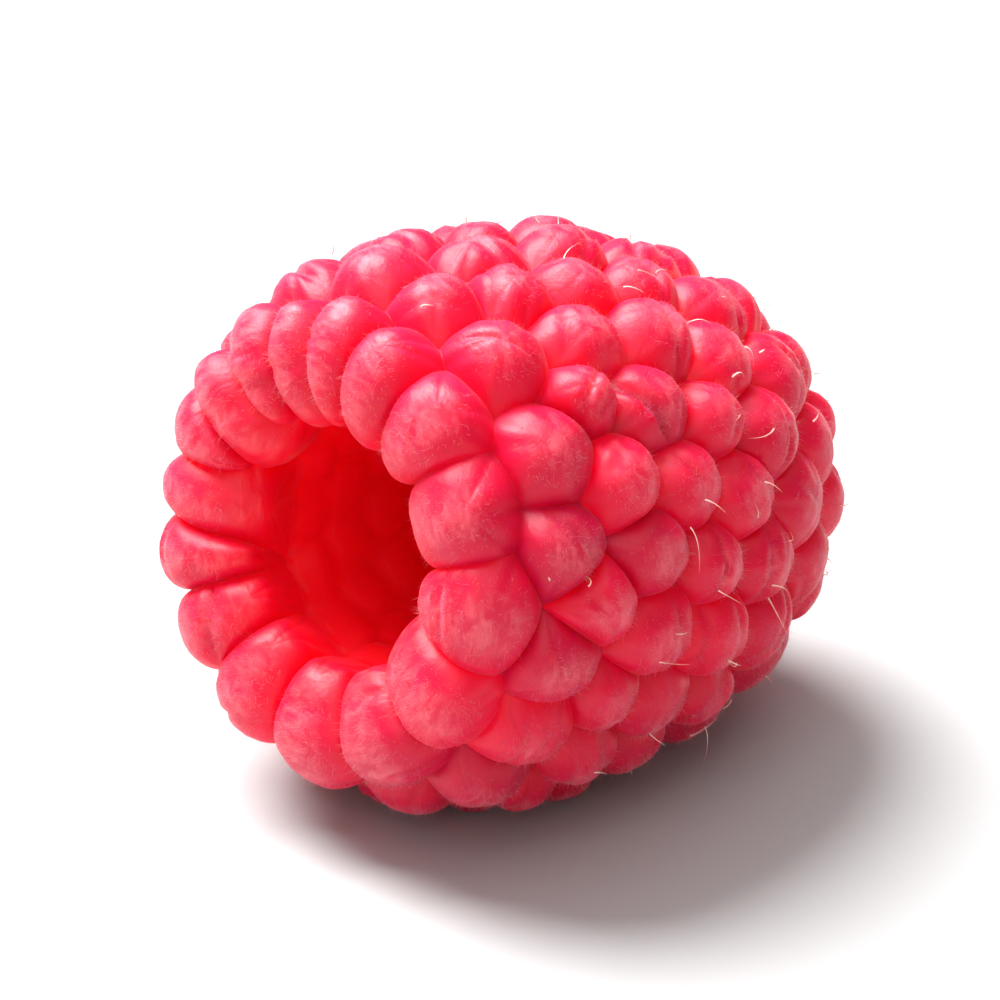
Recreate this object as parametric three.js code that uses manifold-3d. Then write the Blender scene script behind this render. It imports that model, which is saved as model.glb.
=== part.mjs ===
// A picked raspberry, lying on its side with the hollow left by its receptacle open at one end.
// Millimetres, +Z up. The surface it lies on is Z = 0 and its mouth faces -Y.
import * as THREE from "three";
import { mergeVertices } from "three/addons/utils/BufferGeometryUtils.js";
import Module from "manifold-3d";

// ---- The whole berry ----
const LENGTH = 23.4; // rim of the mouth to the tip, over the drupelets
const RADIUS = 10.6; // widest, over the drupelets
const BELLY = 7.5; // how far behind the rim it is widest
const BLUNTNESS = 2.12; // of its outline: 2 is an ellipse, and more is a blunter tip
const CREST_RADIUS = 6.9; // the ring where the rim stands furthest forward
const TILT = THREE.MathUtils.degToRad(10); // how far the mouth is raised as it lies
const BELLY_HEIGHT = 10.15; // the axis above the surface, at the belly
const BELLY_X = 0.045; // the belly's place along X and Y
const BELLY_Y = -3.6;

// ---- The hollow ----
const MOUTH_RADIUS = 4.15; // at its narrowest
const LIP = 2.1; // the rim to the narrowest part of the mouth
const HOLLOW_DEPTH = 15; // the rim to the end of the hollow
const HOLLOW_TAPER = 0.8; // less than 1 is a fuller cone
const UNDERCUT = 0.6; // the hollow's wall behind the ends of the lobes

// ---- Lobes: the long drupelets that wrap over the rim ----
const LOBES = 16;
const LOBE_UNEVEN = 0.16; // how much their widths vary
const LOBE_LOPSIDED = 0.32; // and how much wider they are on the berry's full side
const FULL_TURN = THREE.MathUtils.degToRad(-105);
const LOBE_BEHIND = 0.6; // a lobe's middle behind the crest
const LOBE_REACH = 3; // a lobe's middle to its outer end
const LOBE_INSIDE = 1.4; // how far past the lip its inner end runs down the hollow's wall
const LOBE_WIDTH = 2.7; // that sets how deep the creases between them run

// ---- Drupelets: the round ones behind them ----
const WIDTH_AT_RIM = 3.95;
const WIDTH_AT_TIP = 2.8;
const WIDTH_JITTER = 0.14;
const CROWDING = 0.96; // drupelets for each one the skin has level room for
const SPIRAL_START = THREE.MathUtils.degToRad(11); // the first one's turn about the axis
const ROUNDS = 40; // rounds of pushing apart

// ---- Pillows: how each one rises between its creases ----
const CREASE_TO_WIDTH = 0.27; // how deep a crease runs, over the width of a drupelet
const CORNER_DEEPER = 0.35; // how much deeper a crease is where three meet
const FULLNESS = 2.2; // of a pillow's arch: 2 is an ellipse, and more is a flatter top
const VALLEY = 1.45; // how its foot opens: 1 is a cut, and more is a wider valley between pillows
const SPINE = 0.8; // of a long pillow: how much of its extra length its top runs along
const TOP_JITTER = 0.14; // how much higher or lower a top stands
const SEED = 7;

// ---- How finely it is drawn ----
const RINGS = [0.4, 0.72, 0.92]; // rings of points between a pillow's top and its crease
const SEGMENT = 1.25; // about how long the pieces of a crease are
const HOLLOW_ROWS = 8;

const GOLDEN_ANGLE = Math.PI * (3 - Math.sqrt(5));
const HEXAGON = Math.sqrt(3) / 2; // the area of a hexagon, over its width squared

// A seeded draw from 0 to 1.
function seeded(seed) {
  let state = seed >>> 0;
  return () => {
    state = (state + 0x6d2b79f5) >>> 0;
    let t = Math.imul(state ^ (state >>> 15), state | 1);
    t ^= t + Math.imul(t ^ (t >>> 7), t | 61);
    return ((t ^ (t >>> 14)) >>> 0) / 2 ** 32;
  };
}

// A draw from -most to +most.
function spread(draw, most) {
  return (draw() * 2 - 1) * most;
}

// ---- The skin: one outline, turned about the berry's axis ----
// It runs from the tip (0) to the belly (1), the crest of the rim (2), the lip (3) and the end of
// the hollow (4).
function outline(u) {
  const part = Math.min(Math.floor(u), 3);
  const turn = (u - part) * (Math.PI / 2);
  const [rise, fall] = [Math.sin(turn), Math.max(0, Math.cos(turn))];
  const blunt = 2 / BLUNTNESS;
  if (part === 0) {
    return [RADIUS * rise ** blunt, BELLY + (LENGTH - BELLY) * fall ** blunt];
  }
  if (part === 1) {
    return [CREST_RADIUS + (RADIUS - CREST_RADIUS) * fall ** blunt, BELLY * (1 - rise ** blunt)];
  }
  if (part === 2) {
    return [CREST_RADIUS - (CREST_RADIUS - MOUTH_RADIUS) * rise, LIP * (1 - fall)];
  }
  return [MOUTH_RADIUS * fall ** HOLLOW_TAPER, LIP + (HOLLOW_DEPTH - LIP) * rise];
}

// The outline as a table, with the angle each point has on a sphere when the skin is spread over it
// without changing any shape: drupelets are laid out on that sphere, tip at the pole.
function outlineTable() {
  const steps = 1600;
  const rows = [];
  let [arc, stretch] = [0, 0];
  for (let i = 0; i <= steps; i++) {
    const u = (i / steps) * 4;
    const [radius, along] = outline(u);
    const [radiusBefore, alongBefore] = outline(Math.max(0, u - 0.001));
    const [radiusAfter, alongAfter] = outline(Math.min(4, u + 0.001));
    const normal = new THREE.Vector2(alongBefore - alongAfter, radiusAfter - radiusBefore);
    if (i > 0) {
      const step = Math.hypot(radius - rows[i - 1].radius, along - rows[i - 1].along);
      arc += step;
      if (i > 1) stretch += (2 * step) / (radius + rows[i - 1].radius);
    }
    rows.push({ u, radius, along, normal: normal.normalize(), arc, stretch });
  }
  const middle = rows[steps / 4].stretch;
  for (const row of rows) row.angle = 2 * Math.atan(Math.exp(row.stretch - middle));
  rows[0].angle = 0;
  rows[steps].angle = Math.PI;
  return rows;
}
const TABLE = outlineTable();

// The row of the table where a column reaches a value, between its two nearest rows.
function lookUp(column, value) {
  let [low, high] = [0, TABLE.length - 1];
  while (high - low > 1) {
    const middle = (low + high) >> 1;
    if (TABLE[middle][column] > value) high = middle;
    else low = middle;
  }
  const [a, b] = [TABLE[low], TABLE[high]];
  const share = THREE.MathUtils.clamp((value - a[column]) / (b[column] - a[column]), 0, 1);
  const mix = (name) => THREE.MathUtils.lerp(a[name], b[name], share);
  const [radius, along, arc, angle] = ["radius", "along", "arc", "angle"].map(mix);
  return { radius, along, arc, angle, normal: a.normal.clone().lerp(b.normal, share) };
}
const CREST_ARC = lookUp("u", 2).arc;
const LOBE_END_ANGLE = lookUp("arc", lookUp("u", 3).arc + LOBE_INSIDE).angle;
const LOBE_ARC = CREST_ARC - LOBE_BEHIND;
const ROUND_ARC = LOBE_ARC - LOBE_REACH; // where the round drupelets begin

// A direction on the sphere. Turn 0 is up, and the tip is at angle 0.
function directionAt(angle, turn) {
  const ring = Math.sin(angle);
  return new THREE.Vector3(ring * Math.sin(turn), ring * Math.cos(turn), Math.cos(angle));
}
function angleOf(direction) {
  return Math.acos(THREE.MathUtils.clamp(direction.z, -1, 1));
}

// The point of the skin under a direction, raised by a height.
function skinPoint(direction, height) {
  const { radius, along, normal } = lookUp("angle", angleOf(direction));
  const turn = Math.atan2(direction.x, direction.y);
  const ring = radius + normal.x * height;
  return new THREE.Vector3(ring * Math.sin(turn), ring * Math.cos(turn), along + normal.y * height);
}

// Millimetres of skin for each radian of the sphere.
function scaleAt(direction) {
  const { radius, angle } = lookUp("angle", angleOf(direction));
  return radius / Math.max(Math.sin(angle), 1e-6);
}
function widthAt(arc) {
  if (arc > ROUND_ARC) {
    const past = THREE.MathUtils.smoothstep(arc, ROUND_ARC, LOBE_ARC);
    return THREE.MathUtils.lerp(WIDTH_AT_RIM, LOBE_WIDTH, past);
  }
  return THREE.MathUtils.lerp(WIDTH_AT_TIP, WIDTH_AT_RIM, arc / ROUND_ARC);
}

// ---- Where the drupelets are ----
// A cell takes more room from its neighbours the larger its span.
function makeCell(centre, span, kind) {
  return { centre, hold: 1 / Math.cos(span), kind };
}

// The rim's lobes, side by side round the mouth.
function lobeCells(draw) {
  const shares = Array.from({ length: LOBES }, (_, i) => {
    const turn = ((i + 0.5) / LOBES) * 2 * Math.PI;
    return 1 + spread(draw, LOBE_UNEVEN) + LOBE_LOPSIDED * Math.cos(turn - FULL_TURN);
  });
  const whole = shares.reduce((sum, share) => sum + share);
  let edge = 0;
  return shares.map((share) => {
    const turn = ((edge + share / 2) / whole) * 2 * Math.PI;
    edge += share;
    const { angle } = lookUp("arc", LOBE_ARC + spread(draw, 0.25));
    const centre = directionAt(angle, turn);
    return makeCell(centre, LOBE_REACH / scaleAt(centre), "lobe");
  });
}

// Round drupelets start on a golden spiral that gives each its width squared, and push each other
// apart along the skin.
function drupeletCells(draw) {
  const band = [0];
  const rows = TABLE.filter(({ arc }) => arc < ROUND_ARC);
  for (let i = 1; i < rows.length; i++) {
    const ring = Math.PI * (rows[i].radius + rows[i - 1].radius);
    const area = ring * (rows[i].arc - rows[i - 1].arc);
    band.push(band[i - 1] + area / widthAt(rows[i].arc) ** 2);
  }
  const count = Math.round((band.at(-1) * CROWDING) / HEXAGON);
  const beads = Array.from({ length: count }, (_, i) => {
    const row = band.findIndex((taken) => taken >= ((i + 0.5) / count) * band.at(-1));
    const width = widthAt(rows[row].arc) * (1 + spread(draw, WIDTH_JITTER));
    return { at: directionAt(rows[row].angle, SPIRAL_START + i * GOLDEN_ANGLE), width };
  });
  for (let round = 0; round < ROUNDS; round++) {
    const moved = beads.map((bead) => {
      const scale = scaleAt(bead.at);
      const push = new THREE.Vector3();
      for (const other of beads) {
        const away = bead.at.clone().sub(other.at).multiplyScalar(scale);
        const room = (bead.width + other.width) / 2 - away.length();
        if (other !== bead && room > 0) push.addScaledVector(away.normalize(), room * 0.3);
      }
      const at = bead.at.clone().addScaledVector(push, 1 / scale).normalize();
      const most = lookUp("arc", ROUND_ARC - bead.width * 0.45).angle;
      return directionAt(Math.min(angleOf(at), most), Math.atan2(at.x, at.y));
    });
    beads.forEach((bead, i) => (bead.at = moved[i]));
  }
  return beads.map(({ at, width }) => makeCell(at, width / 2 / scaleAt(at), "drupelet"));
}

// The hollow is the cell at the far pole, as wide as reaches the lobes' inner ends.
function hollowCell(lobe) {
  const angle = angleOf(lobe.centre);
  const centre = new THREE.Vector3(0, 0, -1);
  const end = LOBE_END_ANGLE;
  const hold = (lobe.hold * Math.cos(end - angle)) / Math.cos(Math.PI - end);
  return { centre, hold, kind: "hollow" };
}

// ---- The outline of each cell ----
function frameOf(centre) {
  const east = new THREE.Vector3(0, 0, 1).cross(centre);
  if (east.length() < 1e-6) east.set(1, 0, 0);
  east.normalize();
  return [east, centre.clone().cross(east)];
}

// The corners of a cell: a square cut back halfway to each neighbour.
function cornersOf(cell, cells) {
  const [east, north] = frameOf(cell.centre);
  const corner = (x, y) => cell.centre.clone().addScaledVector(east, x).addScaledVector(north, y);
  let corners = [corner(2, 2), corner(-2, 2), corner(-2, -2), corner(2, -2)];
  for (const other of cells) {
    if (other === cell || cell.centre.distanceTo(other.centre) > 1.2) continue;
    const plane = cell.centre.clone().multiplyScalar(cell.hold);
    plane.addScaledVector(other.centre, -other.hold);
    const kept = [];
    corners.forEach((here, i) => {
      const next = corners[(i + 1) % corners.length];
      const [a, b] = [here.dot(plane), next.dot(plane)];
      if (a >= 0) kept.push(here);
      if (a >= 0 !== b >= 0) kept.push(here.clone().lerp(next, a / (a - b)));
    });
    corners = kept;
  }
  return corners.map((point) => point.normalize());
}

// The crease round a cell. Each point knows how deep it lies.
function creaseOf(corners) {
  return corners.flatMap((here, i) => {
    const next = corners[(i + 1) % corners.length];
    const middle = here.clone().add(next).normalize();
    const length = here.distanceTo(next) * scaleAt(middle);
    const segments = Math.max(1, Math.round(length / SEGMENT));
    return Array.from({ length: segments }, (_, k) => {
      const share = k / segments;
      const at = here.clone().lerp(next, share).normalize();
      const width = widthAt(lookUp("angle", angleOf(at)).arc);
      const fromCorner = Math.min(share, 1 - share) * length;
      const deeper = CORNER_DEEPER * Math.max(0, 1 - fromCorner / (width * 0.3)) ** 2;
      return { at, depth: CREASE_TO_WIDTH * width * (1 + deeper) };
    });
  });
}

// ---- Surfaces ----
const points = [];
const index = [];
function addPoint(point) {
  return points.push(point) - 1;
}
// A band of triangles between two rings, or from a ring to one point.
function joinRings(outer, inner) {
  outer.forEach((a, i) => {
    const b = outer[(i + 1) % outer.length];
    if (inner.length === 1) {
      index.push(a, b, inner[0]);
      return;
    }
    const [c, d] = [inner[(i + 1) % inner.length], inner[i]];
    index.push(a, b, c, a, c, d);
  });
}

// A ring's triangles to the knots of the spine inside it: each point joins its nearest knot.
function joinToSpine(ring, knots, nearest) {
  ring.forEach((a, i) => {
    const next = (i + 1) % ring.length;
    index.push(a, ring[next], knots[nearest[i]]);
    const step = Math.sign(nearest[next] - nearest[i]);
    for (let k = nearest[i]; k !== nearest[next]; k += step) {
      index.push(ring[next], knots[k + step], knots[k]);
    }
  });
}

// A pillow: rings about its spine, a short line along its longer way, that are rounded near its top
// and follow its crease at the foot.
function addPillow(crease, top) {
  const centre = crease.reduce((sum, { at }) => sum.add(at), new THREE.Vector3()).normalize();
  const [east, north] = frameOf(centre);
  const directionOf = ({ x, y }) =>
    centre.clone().addScaledVector(east, x).addScaledVector(north, y).normalize();
  const flat = crease.map(({ at }) => {
    const level = at.clone().divideScalar(at.dot(centre));
    return new THREE.Vector2(level.dot(east), level.dot(north));
  });
  const half = (axis) => {
    const values = flat.map((point) => point[axis]);
    return (Math.max(...values) - Math.min(...values)) / 2;
  };
  const [across, along] = [half("x"), half("y")];
  const spine = new THREE.Vector2(Math.max(0, across - along), Math.max(0, along - across));
  spine.multiplyScalar(SPINE);
  const roots = flat.map((point) => point.clone().clamp(spine.clone().negate(), spine));
  const ring = (share) =>
    crease.map(({ depth }, i) => {
      const out = flat[i].clone().sub(roots[i]);
      const round = Math.min((0.94 * Math.min(across, along)) / out.length(), 1.2);
      const reach = share * THREE.MathUtils.lerp(round, 1, share ** 3);
      const arch = (1 - share ** FULLNESS) ** (VALLEY / FULLNESS);
      const at = directionOf(out.multiplyScalar(reach).add(roots[i]));
      return addPoint(skinPoint(at, arch * (top + depth) - depth));
    });
  let outer = ring(1);
  for (const share of RINGS.toReversed()) {
    const inner = ring(share);
    joinRings(outer, inner);
    outer = inner;
  }
  const length = 2 * spine.length();
  const last = Math.round((length * scaleAt(centre)) / SEGMENT);
  const knots = Array.from({ length: last + 1 }, (_, k) => {
    const at = spine.clone().multiplyScalar(last > 0 ? (2 * k) / last - 1 : 0);
    return addPoint(skinPoint(directionOf(at), top));
  });
  const nearest = roots.map((root) => {
    const share = last > 0 ? root.dot(spine) / spine.lengthSq() : 0;
    return Math.round(((share + 1) / 2) * last);
  });
  joinToSpine(outer, knots, nearest);
}

// The hollow's wall, from the crease behind the lobes to its end.
function addHollow(crease) {
  let outer = crease.map(({ at, depth }) => addPoint(skinPoint(at, -depth)));
  const deepest = TABLE.at(-1).arc;
  for (let row = 1; row < HOLLOW_ROWS; row++) {
    const inner = crease.map(({ at }) => {
      const start = lookUp("angle", angleOf(at)).arc;
      const { angle } = lookUp("arc", THREE.MathUtils.lerp(start, deepest, row / HOLLOW_ROWS));
      return addPoint(skinPoint(directionAt(angle, Math.atan2(at.x, at.y)), -UNDERCUT));
    });
    joinRings(outer, inner);
    outer = inner;
  }
  const end = new THREE.Vector3(0, 0, HOLLOW_DEPTH + UNDERCUT);
  joinRings(outer, [addPoint(end)]);
}

function buildSkin() {
  const draw = seeded(SEED);
  const cells = [...lobeCells(draw), ...drupeletCells(draw)];
  const hollow = hollowCell(cells[0]);
  const everything = [...cells, hollow];
  for (const cell of cells) {
    addPillow(creaseOf(cornersOf(cell, everything)), spread(draw, TOP_JITTER));
  }
  addHollow(creaseOf(cornersOf(hollow, everything)));
  const geometry = new THREE.BufferGeometry().setFromPoints(points).setIndex(index);
  return mergeVertices(geometry, 1e-4);
}

const wasm = await Module();
wasm.setup();

function toManifold(geometry) {
  const bare = geometry.clone();
  bare.deleteAttribute("normal");
  bare.deleteAttribute("uv");
  const merged = mergeVertices(bare, 1e-4);
  const vertProperties = new Float32Array(merged.attributes.position.array);
  const triVerts = new Uint32Array(merged.index.array);
  return new wasm.Manifold(new wasm.Mesh({ numProp: 3, vertProperties, triVerts }));
}

function toGeometry(solid) {
  const { vertProperties, triVerts } = solid.getMesh();
  const geometry = new THREE.BufferGeometry();
  geometry.setAttribute("position", new THREE.BufferAttribute(vertProperties, 3));
  return geometry.setIndex(new THREE.BufferAttribute(triVerts, 1));
}

// The berry's own frame laid down on its side in the part's frame.
function layDown(geometry) {
  const toPart = new THREE.Matrix4().makeBasis(
    new THREE.Vector3(-1, 0, 0),
    new THREE.Vector3(0, Math.sin(TILT), Math.cos(TILT)),
    new THREE.Vector3(0, Math.cos(TILT), -Math.sin(TILT)),
  );
  return geometry
    .translate(0, 0, -BELLY)
    .applyMatrix4(toPart)
    .translate(BELLY_X, BELLY_Y, BELLY_HEIGHT);
}

function buildRaspberry() {
  const skin = toManifold(layDown(buildSkin()));
  const floor = new THREE.BoxGeometry(60, 60, 20).translate(0, 0, -10);
  return toGeometry(skin.subtract(toManifold(floor)));
}

const part = new THREE.Group();
part.name = "part";
const raspberry = new THREE.Mesh(
  buildRaspberry(),
  new THREE.MeshStandardMaterial({ color: 0xd81838, roughness: 0.4, metalness: 0 }),
);
raspberry.name = "raspberry";
part.add(raspberry);

export default part;
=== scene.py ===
# %% [markdown]
# # A picked raspberry
# A raspberry is a cup of small juicy fruits, the drupelets, that grow against each other round a
# white core. When it is picked the core stays on the plant and leaves a hollow. Each drupelet is a
# thin, finely furred skin over clear red flesh, with a dried thread, the style, that falls off most
# of them. This lesson makes the skin, the fur, the styles, and the light that shows them.
#
# The solid part comes first: it is the frame that every finer piece has to fit.

import math

import bmesh
import bpy
import numpy as np
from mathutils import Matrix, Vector, noise


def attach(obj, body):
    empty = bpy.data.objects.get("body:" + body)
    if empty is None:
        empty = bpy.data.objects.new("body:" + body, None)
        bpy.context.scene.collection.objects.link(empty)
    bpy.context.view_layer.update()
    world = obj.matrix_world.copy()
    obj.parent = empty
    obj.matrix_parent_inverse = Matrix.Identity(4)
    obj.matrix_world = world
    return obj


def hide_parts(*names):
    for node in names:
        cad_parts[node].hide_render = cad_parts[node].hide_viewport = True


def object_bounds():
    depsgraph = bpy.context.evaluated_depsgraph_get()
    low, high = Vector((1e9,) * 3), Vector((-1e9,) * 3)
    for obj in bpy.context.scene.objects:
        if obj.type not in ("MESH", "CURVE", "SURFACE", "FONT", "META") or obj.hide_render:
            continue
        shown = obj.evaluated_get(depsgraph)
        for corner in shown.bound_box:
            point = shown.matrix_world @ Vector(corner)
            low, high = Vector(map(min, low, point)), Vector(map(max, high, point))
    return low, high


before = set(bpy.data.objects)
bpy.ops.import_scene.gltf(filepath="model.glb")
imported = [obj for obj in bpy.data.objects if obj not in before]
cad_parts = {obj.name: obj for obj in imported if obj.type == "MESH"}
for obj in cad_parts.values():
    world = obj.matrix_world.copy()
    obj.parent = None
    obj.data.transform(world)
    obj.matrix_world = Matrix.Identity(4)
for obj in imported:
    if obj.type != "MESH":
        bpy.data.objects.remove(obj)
solid_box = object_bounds()
print("solid berry, in metres:", solid_box)

# %% [markdown]
# ## The measures of the berry
# These are the measures that the solid was built from, in millimetres. The fine skin repeats its
# rule with the same seed, so every drupelet comes out in its own place, only smoother.

# %% Measures
LENGTH = 23.4  # rim of the mouth to the tip
RADIUS = 10.6  # widest
BELLY = 7.5  # how far behind the rim it is widest
BLUNTNESS = 2.12  # of its outline: 2 is an ellipse, and more is a blunter tip
CREST_RADIUS = 6.9  # the ring where the rim stands furthest forward
TILT = math.radians(10)  # how far the mouth is raised as it lies
BELLY_HEIGHT = 10.15  # the axis above the surface, at the belly
BELLY_X = 0.045  # the belly's place along X and Y
BELLY_Y = -3.6

MOUTH_RADIUS = 4.15  # at its narrowest
LIP = 2.1  # the rim to the narrowest part of the mouth
HOLLOW_DEPTH = 15  # the rim to the end of the hollow
HOLLOW_TAPER = 0.8  # less than 1 is a fuller cone
UNDERCUT = 0.6  # the hollow's wall behind the ends of the lobes

LOBES = 16
LOBE_UNEVEN = 0.16  # how much their widths vary
LOBE_LOPSIDED = 0.32  # how much wider they are on the berry's full side
FULL_TURN = math.radians(-105)
LOBE_BEHIND = 0.6  # a lobe's middle behind the crest
LOBE_REACH = 3  # a lobe's middle to its outer end
LOBE_INSIDE = 1.4  # how far its inner end runs down the hollow's wall
LOBE_WIDTH = 2.7  # that sets how deep the creases between them run
LOBE_SHIFT = 0.25  # how far a lobe's middle may stand off their common ring

WIDTH_AT_RIM = 3.95  # of a round drupelet
WIDTH_AT_TIP = 2.8
WIDTH_JITTER = 0.14
CROWDING = 0.96  # drupelets for each one the skin has level room for
SPIRAL_START = math.radians(11)  # the first one's turn about the axis
ROUNDS = 40  # rounds of pushing apart
PUSH = 0.3  # how much of the missing room one round makes
CLEAR_OF_LOBES = 0.45  # of its own width: how far a drupelet's middle stays from the lobes

CREASE_TO_WIDTH = 0.27  # how deep a crease runs, over the width of a drupelet
CORNER_DEEPER = 0.35  # how much deeper a crease is where three meet
CORNER_REACH = 0.3  # over the width: how far from such a corner it is deeper
FULLNESS = 2.2  # of a drupelet's arch: 2 is an ellipse, and more is a flatter top
VALLEY = 1.45  # how its foot opens: 1 is a cut, and more is a wider valley
SPINE = 0.8  # of a long drupelet: how much of its extra length its top runs along
TOP_JITTER = 0.14  # how much higher or lower a top stands
SEED = 7

GOLDEN_ANGLE = math.pi * (3 - math.sqrt(5))
HEXAGON = math.sqrt(3) / 2


# %% [markdown]
# ## A draw that always comes out the same
# Nothing grown is even, so widths, heights and places are drawn by chance. A seeded draw gives the
# same chances each time, and the same ones that the solid had.

# %% Seeded draw
WORD = 0xFFFFFFFF


def seeded(seed):
    state = seed & WORD

    def draw():
        nonlocal state
        state = (state + 0x6D2B79F5) & WORD
        t = ((state ^ (state >> 15)) * (state | 1)) & WORD
        t ^= (t + (((t ^ (t >> 7)) * (t | 61)) & WORD)) & WORD
        return (t ^ (t >> 14)) / 2**32

    return draw


def spread(draw, most):
    return (draw() * 2 - 1) * most


# %% [markdown]
# ## The skin as one outline turned about the axis
# The outline runs from the tip over the belly and the rim into the hollow. Beside each point of it
# stands an angle on a sphere, chosen so that small shapes keep their shape when the skin is spread
# over that sphere. Crowding the drupelets on a sphere is much easier than on the berry itself.

# %% Outline of the berry
BLUNT = 2 / BLUNTNESS


def outline(u):
    part = min(int(u), 3)
    turn = (u - part) * math.pi / 2
    rise, fall = math.sin(turn), max(0.0, math.cos(turn))
    if part == 0:
        return RADIUS * rise**BLUNT, BELLY + (LENGTH - BELLY) * fall**BLUNT
    if part == 1:
        return CREST_RADIUS + (RADIUS - CREST_RADIUS) * fall**BLUNT, BELLY * (1 - rise**BLUNT)
    if part == 2:
        return CREST_RADIUS - (CREST_RADIUS - MOUTH_RADIUS) * rise, LIP * (1 - fall)
    return MOUTH_RADIUS * fall**HOLLOW_TAPER, LIP + (HOLLOW_DEPTH - LIP) * rise


def outline_table(steps=1600):
    u = np.arange(steps + 1) / steps * 4
    at = np.array([outline(x) for x in u])
    before = np.array([outline(max(0, x - 0.001)) for x in u])
    after = np.array([outline(min(4, x + 0.001)) for x in u])
    normal = np.stack([before[:, 1] - after[:, 1], after[:, 0] - before[:, 0]], 1)
    normal /= np.linalg.norm(normal, axis=1, keepdims=True)
    step = np.hypot(*np.diff(at, axis=0).T)
    stretch = 2 * step / (at[1:, 0] + at[:-1, 0])
    stretch[0] = 0
    arc = np.concatenate([[0], np.cumsum(step)])
    stretch = np.concatenate([[0], np.cumsum(stretch)])
    angle = 2 * np.arctan(np.exp(stretch - stretch[steps // 4]))
    angle[0], angle[-1] = 0, math.pi
    return {"u": u, "radius": at[:, 0], "along": at[:, 1], "normal": normal, "arc": arc, "angle": angle}


SKIN = outline_table()


def look_up(column, value, wanted):
    return np.interp(value, SKIN[column], SKIN[wanted])


LIP_ARC = look_up("u", 3, "arc")
LOBE_END_ANGLE = look_up("arc", LIP_ARC + LOBE_INSIDE, "angle")
LOBE_ARC = look_up("u", 2, "arc") - LOBE_BEHIND
ROUND_ARC = LOBE_ARC - LOBE_REACH
print("skin from tip to lip: %.1f mm" % LIP_ARC)


# %% Places on the sphere and on the skin
def direction_at(angle, turn):
    ring = np.sin(angle)
    return np.stack([ring * np.sin(turn), ring * np.cos(turn), np.cos(angle) + 0 * ring], -1)


def angle_of(direction):
    return np.arccos(np.clip(direction[..., 2], -1, 1))


def unit(vectors):
    return vectors / np.linalg.norm(vectors, axis=-1, keepdims=True)


def skin_points(direction, height):
    angle = angle_of(direction)
    turn = np.arctan2(direction[..., 0], direction[..., 1])
    normal = [np.interp(angle, SKIN["angle"], SKIN["normal"][:, k]) for k in (0, 1)]
    ring = look_up("angle", angle, "radius") + normal[0] * height
    along = look_up("angle", angle, "along") + normal[1] * height
    return np.stack([ring * np.sin(turn), ring * np.cos(turn), along], -1)


def scale_at(direction):
    angle = angle_of(direction)
    return look_up("angle", angle, "radius") / np.maximum(np.sin(angle), 1e-6)


def width_at(arc):
    past = np.clip((arc - ROUND_ARC) / (LOBE_ARC - ROUND_ARC), 0, 1)
    past = past * past * (3 - 2 * past)
    lobe = WIDTH_AT_RIM + (LOBE_WIDTH - WIDTH_AT_RIM) * past
    drupelet = WIDTH_AT_TIP + (WIDTH_AT_RIM - WIDTH_AT_TIP) * arc / ROUND_ARC
    return np.where(arc > ROUND_ARC, lobe, drupelet)


# %% [markdown]
# ## Where each drupelet grows
# Long lobes stand side by side round the rim. The round drupelets start on a spiral, each turned by
# the golden angle from the last as buds are on a stem, and then push each other apart until each
# has its own width. That gives the rows that wander, as real ones do, and no two are alike.

# %% Lobes and drupelets
def lobe_places(draw):
    turns = (np.arange(LOBES) + 0.5) / LOBES * 2 * math.pi
    shares = np.array([1 + spread(draw, LOBE_UNEVEN) for _ in turns])
    shares += LOBE_LOPSIDED * np.cos(turns - FULL_TURN)
    middles = (np.cumsum(shares) - shares / 2) / shares.sum() * 2 * math.pi
    arcs = [LOBE_ARC + spread(draw, LOBE_SHIFT) for _ in turns]
    places = direction_at(look_up("arc", arcs, "angle"), middles)
    return places, 1 / np.cos(LOBE_REACH / scale_at(places))


def drupelet_places(draw):
    rows = SKIN["arc"] < ROUND_ARC
    radius, arc, angle = (SKIN[name][rows] for name in ("radius", "arc", "angle"))
    area = math.pi * (radius[1:] + radius[:-1]) * np.diff(arc)
    band = np.concatenate([[0], np.cumsum(area / width_at(arc[1:]) ** 2)])
    count = round(band[-1] * CROWDING / HEXAGON)
    row = np.searchsorted(band, (np.arange(count) + 0.5) / count * band[-1])
    widths = width_at(arc[row]) * np.array([1 + spread(draw, WIDTH_JITTER) for _ in row])
    places = direction_at(angle[row], SPIRAL_START + np.arange(count) * GOLDEN_ANGLE)
    most = look_up("arc", ROUND_ARC - widths * CLEAR_OF_LOBES, "angle")
    for _ in range(ROUNDS):
        scale = scale_at(places)[:, None]
        away = (places[:, None] - places[None]) * scale[:, None]
        far = np.linalg.norm(away, axis=2)
        room = np.clip((widths[:, None] + widths[None]) / 2 - far, 0, None)
        np.fill_diagonal(room, 0)
        np.fill_diagonal(far, 1)
        push = (away / far[..., None] * room[..., None]).sum(1) * PUSH
        moved = unit(places + push / scale)
        turn = np.arctan2(moved[:, 0], moved[:, 1])
        places = direction_at(np.minimum(angle_of(moved), most), turn)
    return places, 1 / np.cos(widths / 2 / scale_at(places))


draw = seeded(SEED)
lobes, lobe_hold = lobe_places(draw)
rounds, round_hold = drupelet_places(draw)
first_angle = angle_of(lobes[0])
mouth_hold = lobe_hold[0] * math.cos(LOBE_END_ANGLE - first_angle)
mouth_hold /= math.cos(math.pi - LOBE_END_ANGLE)
centres = np.vstack([lobes, rounds, [[0, 0, -1]]])
holds = np.concatenate([lobe_hold, round_hold, [mouth_hold]])
MOUTH = len(centres) - 1
print("%d lobes and %d round drupelets" % (len(lobes), len(rounds)))


# %% [markdown]
# ## Where they press together
# Soft things that swell against each other meet halfway, along straight creases. So each drupelet's
# outline is a piece of the sphere cut back at each neighbour, a little nearer the smaller one.

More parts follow.
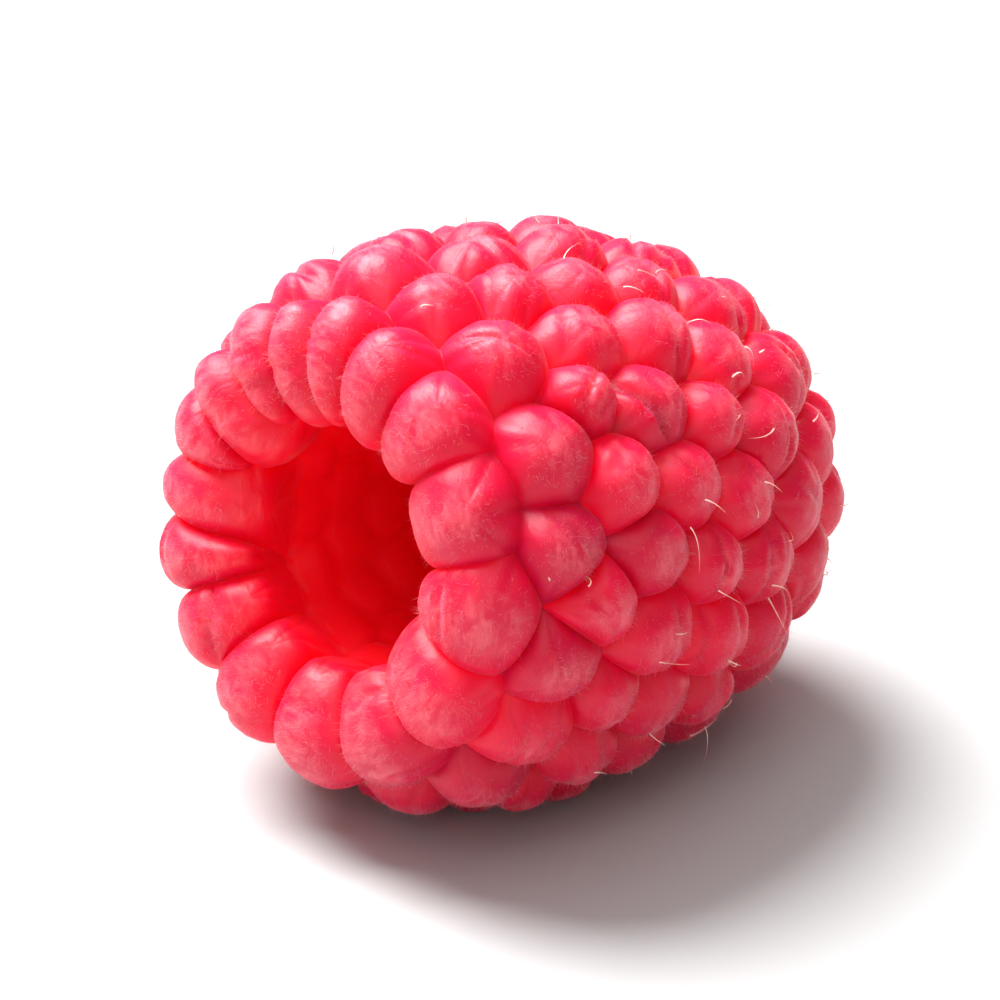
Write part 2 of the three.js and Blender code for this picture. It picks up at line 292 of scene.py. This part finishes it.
# %% Creases
START_SQUARE = 2  # half its side, on a sphere of radius 1: far wider than any drupelet
NEIGHBOURHOOD = 1.2  # on the same sphere: nothing that is further off can touch
CREASE_STEP = 0.26  # millimetres between points along a crease


def frame_of(centre):
    east = np.cross([0, 0, 1], centre)
    if np.linalg.norm(east) < 1e-6:
        east = np.array([1.0, 0, 0])
    east = unit(east)
    return east, np.cross(centre, east)


def corners_of(i):
    centre = centres[i]
    east, north = frame_of(centre)
    signs = ((1, 1), (-1, 1), (-1, -1), (1, -1))
    corners = [centre + START_SQUARE * (x * east + y * north) for x, y in signs]
    near = np.linalg.norm(centres - centre, axis=1) <= NEIGHBOURHOOD
    for j in np.flatnonzero(near):
        if j == i:
            continue
        plane = centre * holds[i] - centres[j] * holds[j]
        side = [float(corner @ plane) for corner in corners]
        kept = []
        for k, here in enumerate(corners):
            following = (k + 1) % len(corners)
            a, b = side[k], side[following]
            if a >= 0:
                kept.append(here)
            if (a >= 0) != (b >= 0):
                kept.append(here + (corners[following] - here) * (a / (a - b)))
        corners = kept
    return unit(np.array(corners))


def crease_of(i):
    corners = corners_of(i)
    places, depths = [], []
    for here, following in zip(corners, np.roll(corners, -1, axis=0)):
        length = np.linalg.norm(here - following) * scale_at(unit(here + following))
        pieces = max(1, math.ceil(length / CREASE_STEP))
        share = np.arange(pieces)[:, None] / pieces
        at = unit(here * (1 - share) + following * share)
        width = width_at(look_up("angle", angle_of(at), "arc"))
        from_corner = np.minimum(share, 1 - share)[:, 0] * length
        deeper = CORNER_DEEPER * np.clip(1 - from_corner / (width * CORNER_REACH), 0, None) ** 2
        places.append(at)
        depths.append(CREASE_TO_WIDTH * width * (1 + deeper))
    return np.vstack(places), np.concatenate(depths)


# %% [markdown]
# ## The skin
# Each drupelet is a pillow: rings of points that are round near its top and follow its crease at
# the foot, raised by an arch. Every point also remembers how high on its drupelet it is and which
# drupelet it is on, and the colour uses both later. Some drupelets have lost a little water and
# are dented across, which the eye takes for ripeness.

# %% Folds
FOLD_COUNT = 3.9  # rounded down after the draw, so none to three
FOLD_DEPTH = 0.2  # millimetres, the deepest
FOLD_SHALLOW = 0.45  # of that depth: the shallowest
FOLD_WIDTH = 0.1  # millimetres, the narrowest
FOLD_WIDER = 0.12  # how much wider the widest is
FOLD_LEAN = 1.8  # radians between the two that lean furthest apart
FOLD_BOW = 0.5  # how bent they are
FOLD_BAND = 1.3  # of the drupelet's size: the band that they are scattered over
CHARACTER_SEED = 31
character = seeded(CHARACTER_SEED)


def draw_folds(size):
    """None to three bowed folds across a drupelet, as a function of places on it."""
    count = int(character() * FOLD_COUNT)
    lean = (character() - 0.5) * FOLD_LEAN
    bow = (character() - 0.5) * FOLD_BOW / size
    width = FOLD_WIDTH + FOLD_WIDER * character()
    folds = []
    for _ in range(count):
        offset = (character() - 0.5) * FOLD_BAND * size
        folds.append((offset, FOLD_DEPTH * (FOLD_SHALLOW + (1 - FOLD_SHALLOW) * character())))

    def depth_at(on_it):
        forth = on_it[:, 1] * math.cos(lean) + on_it[:, 0] * math.sin(lean)
        sideways = on_it[:, 0] * math.cos(lean) - on_it[:, 1] * math.sin(lean)
        total = np.zeros(len(on_it))
        for offset, deep in folds:
            from_fold = (forth - offset - bow * sideways**2) / width
            total += deep * np.exp(-(from_fold**2))
        return total

    return depth_at


# %% Pillows
RINGS = [0.13, 0.26, 0.39, 0.52, 0.64, 0.75, 0.84, 0.91, 0.96, 0.99]
SOFTER = 1.38  # how much wider the fine skin's valleys are
OVAL = 0.94  # of the shorter half width: the oval that its upper rings follow
OVAL_MOST = 1.2  # how far past the crease that oval may reach
OVAL_LEAVES = 3  # how low on the drupelet the oval gives way to the crease's own outline
FOLD_ENDS = 4  # how low on it the folds run out
points, heights, rise, tone, local, faces = [], [], [], [], [], []


def add_ring(at, height, how_high, shade, on_it=(0, 0)):
    start = len(points)
    points.extend(at)
    heights.extend(np.broadcast_to(height, len(at)))
    rise.extend(np.broadcast_to(how_high, len(at)))
    tone.extend([shade] * len(at))
    local.extend(np.broadcast_to(on_it, (len(at), 2)))
    return np.arange(start, start + len(at))


def join_rings(outer, inner):
    for a, b, c, d in zip(outer, np.roll(outer, -1), np.roll(inner, -1), inner):
        faces.append((a, b, c, d))


def join_to_spine(ring, knots, nearest):
    """Each point of the ring joins its nearest knot, and the gaps between knots are filled."""
    for i, a in enumerate(ring):
        following = (i + 1) % len(ring)
        b, k = ring[following], nearest[i]
        faces.append((a, b, knots[k]))
        while k != nearest[following]:
            onward = k + (1 if nearest[following] > k else -1)
            faces.append((b, knots[onward], knots[k]))
            k = onward


def add_pillow(i, top):
    at, depth = crease_of(i)
    centre = unit(at.sum(0))
    east, north = frame_of(centre)
    level = at / (at @ centre)[:, None]
    flat = np.stack([level @ east, level @ north], -1)
    across, along = np.ptp(flat, axis=0) / 2
    spine = SPINE * np.array([max(0, across - along), max(0, along - across)])
    roots = np.clip(flat, -spine, spine)
    out = flat - roots
    oval = np.minimum(OVAL * min(across, along) / np.linalg.norm(out, axis=1), OVAL_MOST)
    scale = float(scale_at(centre))
    size = min(across, along) * scale
    shade = character()
    folds = draw_folds(size)

    def ring(share, on_it, arch, depth):
        here = unit(centre + on_it[:, :1] * east + on_it[:, 1:] * north)
        fold = folds(on_it * scale) * (1 - share**FOLD_ENDS)
        return add_ring(here, arch * (top + depth) - depth - fold, arch, shade, on_it * scale)

    outer = None
    for share in [1.0, *reversed(RINGS)]:
        reach = share * (oval + (1 - oval) * share**OVAL_LEAVES)
        arch = max(0.0, 1 - share**FULLNESS) ** (VALLEY * SOFTER / FULLNESS)
        inner = ring(share, roots + out * reach[:, None], arch, depth)
        if outer is not None:
            join_rings(outer, inner)
        outer = inner
    length = 2 * np.linalg.norm(spine)
    last = round(length * scale / CREASE_STEP)
    steps = np.arange(last + 1)[:, None] / max(last, 1) * 2 - (1 if last else 0)
    knots = ring(0, steps * spine, 1, 0)
    share = roots @ spine / (spine @ spine) if last else np.zeros(len(roots))
    nearest = np.round((share + 1) / 2 * last).astype(int)
    join_to_spine(outer, knots, nearest)
    return centre, top


tops = [add_pillow(i, spread(draw, TOP_JITTER)) for i in range(MOUTH)]
print("%d points on the drupelets" % len(points))

# %% [markdown]
# ## The hollow
# The wall of the hollow is where the drupelets held on to the core, so it carries the low round
# print of each one. It is one sheet, ring after ring from the lobes' inner ends to its closed end.

# %% Hollow wall
HOLLOW_ROWS = 44
PRINT_WIDTH = 2.1  # millimetres, as are the next three
PRINT_HEIGHT = 0.3
FIRST_PRINT = 0.8  # from the lobes' inner ends to the first row of prints
LAST_PRINT = 0.6  # from the last row to the end of the hollow
PRINT_ROWS = 0.9  # of a print's width: from row to row
PRINT_JITTER = 0.5  # how far a print may stand off its row
PRINT_EDGE = 5  # how sharply a print falls off at its edge
SETTLE_ROWS = 4  # over which the wall sinks from the lobes' ends to its own depth
WALL_RISE, WALL_TONE = 0.25, 0.5  # what its points remember, as they are on no drupelet
hollow_start = len(points)
end_arc = SKIN["arc"][-1]


def prints():
    """Middles of the prints, on the skin's own place, a spiral of them down the wall."""
    middles = []
    arc, turn = LIP_ARC + LOBE_INSIDE + FIRST_PRINT, 0.0
    while arc < end_arc - LAST_PRINT:
        radius = look_up("arc", arc, "radius") + UNDERCUT
        count = max(3, round(2 * math.pi * radius / PRINT_WIDTH))
        for k in range(count):
            jitter = (character() - 0.5) * PRINT_JITTER
            angle = look_up("arc", arc + jitter, "angle")
            middles.append(direction_at(angle, turn + (k + jitter * 0.5) / count * 2 * math.pi))
        arc += PRINT_WIDTH * PRINT_ROWS
        turn += math.pi / count
    return skin_points(np.array(middles), -UNDERCUT)


PRINTS = prints()


def print_height(at):
    here = skin_points(at, -UNDERCUT)
    far = np.sort(np.linalg.norm(here[:, None] - PRINTS[None], axis=2), axis=1)
    groove = np.clip((far[:, 1] - far[:, 0]) / PRINT_WIDTH, 0, 1)
    return PRINT_HEIGHT * (1 - np.exp(-groove * PRINT_EDGE))


mouth_at, mouth_depth = crease_of(MOUTH)
outer = add_ring(mouth_at, -mouth_depth, 0, WALL_TONE)
mouth_turn = np.arctan2(mouth_at[:, 0], mouth_at[:, 1])
mouth_arc = look_up("angle", angle_of(mouth_at), "arc")
for row in range(1, HOLLOW_ROWS):
    share = row / HOLLOW_ROWS
    arc = mouth_arc + (end_arc - mouth_arc) * share
    at = direction_at(look_up("arc", arc, "angle"), mouth_turn)
    settle = min(1, row / SETTLE_ROWS)
    sunk = -mouth_depth * (1 - settle) - UNDERCUT * settle
    printed = (print_height(at) - PRINT_HEIGHT / 2) * settle
    inner = add_ring(at, sunk + printed, WALL_RISE, WALL_TONE)
    join_rings(outer, inner)
    outer = inner
end = add_ring([[0, 0, -1]], -UNDERCUT, WALL_RISE, WALL_TONE)
join_to_spine(outer, end, [0] * len(outer))
print("%d points in the hollow" % (len(points) - hollow_start))


# %% [markdown]
# ## Laying it down
# The berry lies on its side with the mouth a little raised, and its lowest drupelets are flattened
# on the surface. Millimetres become metres here.

# %% Mesh of the skin
# A lobe's face from the crest over the lip turns to the hollow's pure red: partly its own colour, partly
# a painted glow of light through the lobe.
INNER_FACE = 0.7  # how bare a lobe is at the lip, where 1 is the wall of the hollow
RIPPLES = ((0.9, 0.05), (2.6, 0.028))  # how many in a millimetre, and how high in millimetres
RIPPLED_FROM = 0.5  # how far up a drupelet they have their full height
NOISE_APART = 40  # so that each drupelet has its own stretch of the streaks
MERGE_WITHIN = 2e-7  # metres: points that meet on a shared crease become one


def lay_down(at):
    x, y, z = at[..., 0], at[..., 1], at[..., 2] - BELLY
    up = y * math.cos(TILT) - z * math.sin(TILT) + BELLY_HEIGHT
    forward = y * math.sin(TILT) + z * math.cos(TILT) + BELLY_Y
    return np.stack([BELLY_X - x, forward, up], -1)


def ripple(at):
    """A slight unevenness of the skin, a few hundredths of a millimetre."""
    waves = [[noise.noise(Vector(p) * often) for p in at] for often, _ in RIPPLES]
    return sum(height * np.array(wave) for (_, height), wave in zip(RIPPLES, waves))


places = unit(np.array(points))
heights = np.array(heights)
rise = np.array(rise)
level = skin_points(places, heights)
heights = heights + ripple(level) * np.clip(rise / RIPPLED_FROM, 0, 1)
berry_points = lay_down(skin_points(places, heights))
berry_points[:, 2] = np.maximum(berry_points[:, 2], 0)
crest_arc = look_up("u", 2, "arc")
past_crest = (look_up("angle", angle_of(places), "arc") - crest_arc) / (LIP_ARC - crest_arc)
# Share of the hollow's pure red: 1 on the hollow's wall, and on the lobes' inner faces partly a painted
# glow.
hollow_and_lip_glow = INNER_FACE * np.clip(past_crest, 0, 1)
hollow_and_lip_glow[hollow_start:] = 1

skin_mesh = bpy.data.meshes.new("raspberry_skin")
skin_mesh.from_pydata((berry_points / 1000).tolist(), [], [tuple(map(int, f)) for f in faces])
for name, values in (("rise", rise), ("tone", tone), ("hollow", hollow_and_lip_glow)):
    attribute = skin_mesh.attributes.new(name, "FLOAT", "POINT")
    attribute.data.foreach_set("value", np.asarray(values, np.float32))
on_drupelet = np.column_stack([np.array(local), np.array(tone) * NOISE_APART]).astype(np.float32)
attribute = skin_mesh.attributes.new("on_drupelet", "FLOAT_VECTOR", "POINT")
attribute.data.foreach_set("vector", on_drupelet.ravel())
work = bmesh.new()
work.from_mesh(skin_mesh)
bmesh.ops.remove_doubles(work, verts=work.verts, dist=MERGE_WITHIN)
bmesh.ops.recalc_face_normals(work, faces=work.faces)
open_edges = sum(1 for edge in work.edges if not edge.is_manifold)
work.to_mesh(skin_mesh)
work.free()
skin_mesh.shade_smooth()
skin = bpy.data.objects.new("raspberry_skin", skin_mesh)
bpy.context.scene.collection.objects.link(skin)
skin_mesh.calc_loop_triangles()
print("skin: %d triangles, %d open edges" % (len(skin_mesh.loop_triangles), open_edges))


# %% [markdown]
# ## Threads
# Fur and styles are both thin tapering threads, each a curve that leaves the skin and bends over.
# One function makes a whole tuft of them as a single mesh.

# %% Threads as one mesh
STAND_OUT = 0.45  # millimetres that a thread may stand out from the solid's box
TAPER = 0.85  # how much thinner it is at its end
low_corner = np.array(solid_box[0]) * 1000 - [STAND_OUT, STAND_OUT, 0]
high_corner = np.array(solid_box[1]) * 1000 + STAND_OUT


def thread_mesh(name, roots, ways, bends, lengths, thickness, sides, joints):
    """Millimetres. Each thread leaves its root along its way and bends towards bends."""
    share = np.arange(joints + 1) / joints
    along = lengths[:, None, None] * share[None, :, None]
    curve = roots[:, None] + along * ways[:, None] + along * share[None, :, None] * bends[:, None]
    curve = np.clip(curve, low_corner, high_corner)
    across = unit(np.cross(ways, bends + 1e-4))
    over = unit(np.cross(ways, across))
    turns = np.arange(sides) / sides * 2 * math.pi
    ring = np.cos(turns)[:, None] * across[:, None] + np.sin(turns)[:, None] * over[:, None]
    taper = thickness[:, None] / 2 * (1 - TAPER * share)[None]
    at = curve[:, :, None] + taper[:, :, None, None] * ring[:, None]
    each = (joints + 1) * sides
    first = np.arange(len(roots))[:, None, None] * each
    low = np.arange(joints)[None, :, None] * sides + np.arange(sides)[None, None]
    following = np.arange(joints)[None, :, None] * sides + (np.arange(sides) + 1) % sides
    quads = np.stack([low, following, following + sides, low + sides], -1) + first[..., None]
    mesh = bpy.data.meshes.new(name)
    mesh.from_pydata((at.reshape(-1, 3) / 1000).tolist(), [], quads.reshape(-1, 4).tolist())
    mesh.shade_smooth()
    thread = bpy.data.objects.new(name, mesh)
    bpy.context.scene.collection.objects.link(thread)
    return thread


# %% [markdown]
# ## The fur
# The skin is covered in fur so short that it only shows as a pale bloom on the tops. The hairs are
# about 0.1 to 0.2 mm long and under a hundredth of a millimetre thick. The creases are left bare,
# because fur there would only turn their red to grey, and so are the lobes' inner faces, which lay
# against the core.

# %% Fur
FUR = 30000
FUR_LENGTHS = (0.08, 0.24)  # millimetres
FUR_THICKNESS = 0.0075  # millimetres
FUR_FROM = 0.6  # where it starts, from 0 in the crease to 1 on the top
FUR_CLEAR = 0.6  # millimetres above the table, under which it is pressed flat
BARE_FACE = 0.35  # how far over the lip a lobe is bare, where the hollow's wall is 1
FUR_ASIDE = 0.35  # how far a hair leans from straight out
FUR_BEND = 0.45  # and how far it then bends
FUR_DROOP = 0.15  # of that bend, towards the table
FUR_SIDES, FUR_JOINTS = 3, 1
THREAD_SEED = 5
rng = np.random.default_rng(THREAD_SEED)
corner = np.array([p.co for p in skin_mesh.vertices], np.float64) * 1000
direction = np.array([p.normal for p in skin_mesh.vertices], np.float64)
high = np.zeros(len(corner), np.float32)
skin_mesh.attributes["rise"].data.foreach_get("value", high)
deep = np.zeros(len(corner), np.float32)
skin_mesh.attributes["hollow"].data.foreach_get("value", deep)
triangles = np.array([t.vertices for t in skin_mesh.loop_triangles])
sides_of = corner[triangles]
edges = sides_of[:, 1:] - sides_of[:, :1]
area = np.linalg.norm(np.cross(edges[:, 0], edges[:, 1]), axis=1) / 2
how_high = high[triangles].mean(1)
bare = (deep[triangles].max(1) > BARE_FACE) | (sides_of[..., 2].max(1) < FUR_CLEAR)
furry = area * np.where(bare, 0, how_high > FUR_FROM)
picked = rng.choice(len(triangles), FUR, p=furry / furry.sum())
mix = rng.dirichlet((1, 1, 1), FUR)[..., None]
roots = (sides_of[picked] * mix).sum(1)
outward = unit((direction[triangles[picked]] * mix).sum(1))
ways = unit(outward + rng.normal(0, FUR_ASIDE, (FUR, 3)))
bends = rng.normal(0, FUR_BEND, (FUR, 3)) + [0, 0, -FUR_DROOP]
lengths = rng.uniform(*FUR_LENGTHS, FUR)
fur = thread_mesh(
    "raspberry_fur",
    roots,
    ways,
    bends,
    lengths,
    np.full(FUR, FUR_THICKNESS),
    FUR_SIDES,
    FUR_JOINTS,
)
print("fur: %d hairs, %d triangles" % (FUR, FUR * FUR_SIDES * FUR_JOINTS * 2))

# %% [markdown]
# ## The styles
# The dried styles are about half a millimetre to a little over one long, pale and wiry. Most have
# rubbed off the belly. They stand thickest round the tip, where up to four threads spring from one
# drupelet and bend back to the skin.

# %% Styles
STYLE_LENGTHS = (0.4, 1.3)  # millimetres
STYLE_THICKNESS = (0.045, 0.075)  # millimetres
STYLE_CLEAR = 1.5  # millimetres above the table, under which they have rubbed off
STYLED = 1.8  # the share of drupelets with any at the tip, where 1 is all of them
STYLED_LESS = 0.85  # how fast it falls away from the tip
TUFT = 3.4  # the most threads on one drupelet beyond the first, rounded down
TUFT_LESS = 1.3  # how fast that falls
TUFT_SPREAD = 0.07  # on a sphere of radius 1: how far from the top a thread springs
ROOT_DEPTH = 0.12  # millimetres that its root is sunk in the skin
STYLE_OUT = 0.55  # how much it stands out at first, and then bends back
STYLE_ASIDE = 0.5  # how far it leans to any side
STYLE_BEND = 0.45  # and how far it then bends
STYLE_TO_TIP = 0.2  # how much all of them lean towards the tip
STYLE_SIDES, STYLE_JOINTS = 5, 9
style_roots, style_ways, style_bends, style_lengths = [], [], [], []
to_tip = lay_down(np.array([[0, 0, 1.0]]))[0] - lay_down(np.array([[0, 0, 0.0]]))[0]
for centre, top in tops[LOBES:]:
    angle = float(angle_of(centre))
    if rng.random() > STYLED - STYLED_LESS * angle:
        continue
    for _ in range(1 + int(rng.random() * max(0.0, TUFT - TUFT_LESS * angle))):
        aside = unit(centre + rng.normal(0, TUFT_SPREAD, 3))
        root = lay_down(skin_points(aside, top - ROOT_DEPTH))
        outward = unit(lay_down(skin_points(aside, top + 1)) - root)
        if root[2] < STYLE_CLEAR:
            continue
        style_roots.append(root)
        lean = rng.normal(0, STYLE_ASIDE, 3)
        style_ways.append(unit(outward * STYLE_OUT + lean + to_tip * STYLE_TO_TIP))
        style_bends.append(rng.normal(0, STYLE_BEND, 3) - outward * STYLE_OUT)
        style_lengths.append(rng.uniform(*STYLE_LENGTHS))
style_count = len(style_roots)
styles = thread_mesh(
    "raspberry_styles",
    np.array(style_roots),
    np.array(style_ways),
    np.array(style_bends),
    np.array(style_lengths),
    rng.uniform(*STYLE_THICKNESS, style_count),
    STYLE_SIDES,
    STYLE_JOINTS,
)
print("styles:", style_count)


# %% [markdown]
# ## Materials
# Colours are given as they look on a screen and turned to the linear values that light adds up in.
# One small function adds a node with its settings and links.

# %% Colour and node helpers
def linear(hex_colour):
    parts = [int(hex_colour[i : i + 2], 16) / 255 for i in (1, 3, 5)]
    curve = [c / 12.92 if c <= 0.04045 else ((c + 0.055) / 1.055) ** 2.4 for c in parts]
    return (*curve, 1)


def add_node(tree, kind, settings=None, links=None):
    """settings: property or input names to values. links: input names to output sockets."""
    node = tree.nodes.new(kind)

    def entry(name):
        if isinstance(name, int):
            return node.inputs[name]
        return next((i for i in node.inputs if i.name == name and i.enabled), None)

    for name, value in (settings or {}).items():
        if entry(name) is None:
            setattr(node, name, value)
        else:
            entry(name).default_value = value
    for name, socket in (links or {}).items():
        tree.links.new(socket, entry(name))
    return node


def colour_of(mix):
    return next(o for o in mix.outputs if o.name == "Result" and o.enabled)


def new_material(name):
    material = bpy.data.materials.new(name)
    material.use_nodes = True
    material.node_tree.nodes.clear()
    return material, material.node_tree


# %% [markdown]
# ## Drupelet skin
# The skin of a ripe raspberry is thin, waxy and finely furred, over clear red juice. Light goes in,
# turns red and comes out a millimetre or two away, so the creases glow a deep pure red, while the
# tops are paler, under the bloom. The wax gives a broad soft gloss. So this is a translucent
# material with its colour set by height on the drupelet: the creases are painted a brighter, purer
# red than the tops, a painted glow on top of the light that really comes through. Each drupelet has
# a different tone, the tops have a bloom in soft streaks of about 0.4 by 0.75 mm that is partly the
# pale fur and partly a painted highlight, and there is a fine grain of 0.1 mm. The lobes' faces from
# the crest over the lip have no bloom, and turn to the pure red of the hollow, partly as their own
# colour where they lay against the core and partly as a painted glow of light through the lobe.

# %% Drupelet skin material
STREAK_LENGTH, STREAK_WIDTH, GRAIN = 0.75, 0.42, 0.1  # millimetres
drupelet_skin, tree = new_material("raspberry_drupelet_skin")
height_on = add_node(tree, "ShaderNodeAttribute", {"attribute_name": "rise"})
tone_of = add_node(tree, "ShaderNodeAttribute", {"attribute_name": "tone"})
hollow_and_lip_glow_at = add_node(tree, "ShaderNodeAttribute", {"attribute_name": "hollow"})
on_it = add_node(tree, "ShaderNodeAttribute", {"attribute_name": "on_drupelet"})
place = add_node(tree, "ShaderNodeTexCoord")
streaks_at = add_node(
    tree,
    "ShaderNodeMapping",
    {"Scale": (1 / STREAK_LENGTH, 1 / STREAK_WIDTH, 1)},
    {"Vector": on_it.outputs["Vector"]},
)
streaks = add_node(
    tree,
    "ShaderNodeTexNoise",
    {"Scale": 1.0, "Detail": 3, "Roughness": 0.55, "Distortion": 0.4},
    {"Vector": streaks_at.outputs["Vector"]},
)
grain = add_node(
    tree,
    "ShaderNodeTexNoise",
    {"Scale": 1000 / GRAIN, "Detail": 2, "Roughness": 0.6},
    {"Vector": place.outputs["Object"]},
)
# Colour by height: the creases are painted a brighter, purer red than the tops, a painted glow for light
# coming out of the flesh.
by_height = add_node(tree, "ShaderNodeValToRGB", links={"Fac": height_on.outputs["Fac"]})
ramp = by_height.color_ramp
ramp.elements[0].color = linear("#F40034")
ramp.elements[1].position = 0.95
ramp.elements[1].color = linear("#DA0241")
middle = ramp.elements.new(0.6)
middle.color = linear("#E4003B")
toned_share = add_node(
    tree, "ShaderNodeMath", {"operation": "MULTIPLY", 1: 0.6}, {0: tone_of.outputs["Fac"]}
)
toned = add_node(
    tree,
    "ShaderNodeMix",
    {"data_type": "RGBA", "B": linear("#AC003A")},
    {"A": by_height.outputs["Color"], "Factor": toned_share.outputs[0]},
)
# Pale pink on the drupelet tops, in streaks: partly the real bloom of the fur, partly a painted
# highlight.
bloom_and_highlight_streak = add_node(
    tree,
    "ShaderNodeMapRange",
    {"From Min": 0.4, "From Max": 0.68, "To Min": 0.03, "To Max": 0.36},
    {"Value": streaks.outputs["Fac"]},
)
bloom_and_highlight_height = add_node(
    tree,
    "ShaderNodeMapRange",
    {"From Min": 0.76, "From Max": 1.0},
    {"Value": height_on.outputs["Fac"]},
)
bloom_and_highlight_share = add_node(
    tree,
    "ShaderNodeMath",
    {"operation": "MULTIPLY"},
    {0: bloom_and_highlight_streak.outputs[0], 1: bloom_and_highlight_height.outputs[0]},
)
# Mixes in the pale pink of the bloom and the painted highlight.
bloom_and_painted_highlight = add_node(
    tree,
    "ShaderNodeMix",
    {"data_type": "RGBA", "B": linear("#FF9AA2")},
    {"A": colour_of(toned), "Factor": bloom_and_highlight_share.outputs[0]},
)
# The hollow's own pure red, also laid on the lobes' inner faces, where it is partly a painted glow of
# light through the lobe.
hollow_red_and_lip_glow = add_node(
    tree,
    "ShaderNodeMix",
    {"data_type": "RGBA", "B": linear("#F2001C")},
    {"A": colour_of(bloom_and_painted_highlight), "Factor": hollow_and_lip_glow_at.outputs["Fac"]},
)
streak_bump = add_node(
    tree,
    "ShaderNodeBump",
    {"Strength": 0.4, "Distance": 0.0001},
    {"Height": streaks.outputs["Fac"]},
)
bump = add_node(
    tree,
    "ShaderNodeBump",
    {"Strength": 0.4, "Distance": 0.00003},
    {"Height": grain.outputs["Fac"], "Normal": streak_bump.outputs["Normal"]},
)
surface = add_node(
    tree,
    "ShaderNodeBsdfPrincipled",
    {
        "Roughness": 0.46,
        "IOR": 1.4,
        "Subsurface Weight": 1.0,
        "Subsurface Radius": (1.0, 0.05, 0.05),
        "Subsurface Scale": 0.0028,
        "Sheen Weight": 0.1,
        "Sheen Roughness": 0.3,
        "Sheen Tint": linear("#FFD0D6"),
    },
    {"Base Color": colour_of(hollow_red_and_lip_glow), "Normal": bump.outputs["Normal"]},
)
add_node(tree, "ShaderNodeOutputMaterial", links={"Surface": surface.outputs["BSDF"]})
skin_mesh.materials.append(drupelet_skin)

# %% [markdown]
# ## Fur and styles
# A single hair is clear, so fur looks white where light catches it and takes the red of the skin
# behind it elsewhere. That red comes partly through the hairs and is partly painted into them as a
# pink colour. The styles have dried to the tan of straw.

# %% Hair materials
STRAW_BANDS = 0.5  # millimetres
fur_hair, tree = new_material("raspberry_fur_hair")
surface = add_node(
    tree,
    "ShaderNodeBsdfPrincipled",
    {
        # The pink is painted: the skin's red seen through a clear hair.
        "Base Color": linear("#F4A8AC"),
        "Roughness": 0.5,
        "Transmission Weight": 0.35,
        "IOR": 1.45,
    },
)
add_node(tree, "ShaderNodeOutputMaterial", links={"Surface": surface.outputs["BSDF"]})
fur.data.materials.append(fur_hair)

dried_style, tree = new_material("raspberry_dried_style")
place = add_node(tree, "ShaderNodeTexCoord")
bands = add_node(
    tree,
    "ShaderNodeTexNoise",
    {"Scale": 1000 / STRAW_BANDS, "Detail": 1},
    {"Vector": place.outputs["Object"]},
)
straw = add_node(tree, "ShaderNodeValToRGB", links={"Fac": bands.outputs["Fac"]})
straw.color_ramp.elements[0].position = 0.35
straw.color_ramp.elements[0].color = linear("#EBA898")
straw.color_ramp.elements[1].position = 0.65
straw.color_ramp.elements[1].color = linear("#FFEBDC")
surface = add_node(
    tree,
    "ShaderNodeBsdfPrincipled",
    {"Roughness": 0.45, "IOR": 1.5},
    {"Base Color": straw.outputs["Color"]},
)
add_node(tree, "ShaderNodeOutputMaterial", links={"Surface": surface.outputs["BSDF"]})
styles.data.materials.append(dried_style)

# %% [markdown]
# ## Tying the looks to the solid
# All three pieces belong to the one berry, so they ride on the same body. The skin takes the place
# of the solid, which is then not drawn.

# %% Tie the pieces to the part
for piece in (skin, fur, styles):
    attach(piece, "root")
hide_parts("raspberry")

# %% [markdown]
# ## The table and the light
# A plain pale table that throws light back up under the fruit. A broad soft light stands high on
# the left, a wider and weaker one is overhead, and a weak one in front opens the shaded side. The
# surround is pale and dim.

# %% Table
floor_mesh = bpy.data.meshes.new("table")
floor_mesh.from_pydata([(-3, -3, 0), (3, -3, 0), (3, 3, 0), (-3, 3, 0)], [], [(0, 1, 2, 3)])
floor = bpy.data.objects.new("table", floor_mesh)
bpy.context.scene.collection.objects.link(floor)
white_card, tree = new_material("white_card")
surface = add_node(
    tree, "ShaderNodeBsdfPrincipled", {"Base Color": linear("#B4B4B4"), "Roughness": 0.8}
)
add_node(tree, "ShaderNodeOutputMaterial", links={"Surface": surface.outputs["BSDF"]})
floor_mesh.materials.append(white_card)


# %% Lights and surround
def soft_light(name, place, aim, size, power):
    light = bpy.data.lights.new(name, "AREA")
    light.shape = "DISK"
    light.size = size
    light.energy = power
    lamp = bpy.data.objects.new(name, light)
    lamp.location = place
    lamp.rotation_euler = (Vector(aim) - Vector(place)).to_track_quat("-Z", "Y").to_euler()
    bpy.context.scene.collection.objects.link(lamp)


MIDDLE = (0, 0, 0.010)
soft_light("key", (-0.30, -0.03, 0.47), MIDDLE, 0.44, 10.8)
soft_light("overhead", (0.0, 0.0, 0.70), MIDDLE, 1.0, 3.0)
soft_light("front_fill", (0.35, -0.45, 0.45), MIDDLE, 0.6, 1.6)
world = bpy.data.worlds.new("pale_surround")
world.use_nodes = True
background = world.node_tree.nodes["Background"]
background.inputs["Color"].default_value = (1, 1, 1, 1)
background.inputs["Strength"].default_value = 0.16
bpy.context.scene.world = world
bpy.context.scene.view_settings.view_transform = "Standard"

# %% [markdown]
# ## The camera
# It looks a little into the mouth from above, 40 cm away, through a long lens that fills the frame
# with the berry.

# %% Camera
AROUND, ABOVE, AWAY = math.radians(47), math.radians(28), 0.40
aim = Vector((-0.0008, -0.0009, 0.0096))
back = Vector((math.sin(AROUND) * math.cos(ABOVE), -math.cos(AROUND) * math.cos(ABOVE), math.sin(ABOVE)))
camera_data = bpy.data.cameras.new("camera")
camera_data.sensor_width = 36
camera_data.lens = 400
camera_data.clip_start = 0.01
camera = bpy.data.objects.new("camera", camera_data)
camera.location = aim + back * AWAY
camera.rotation_euler = (-back).to_track_quat("-Z", "Y").to_euler()
bpy.context.scene.collection.objects.link(camera)
bpy.context.scene.camera = camera
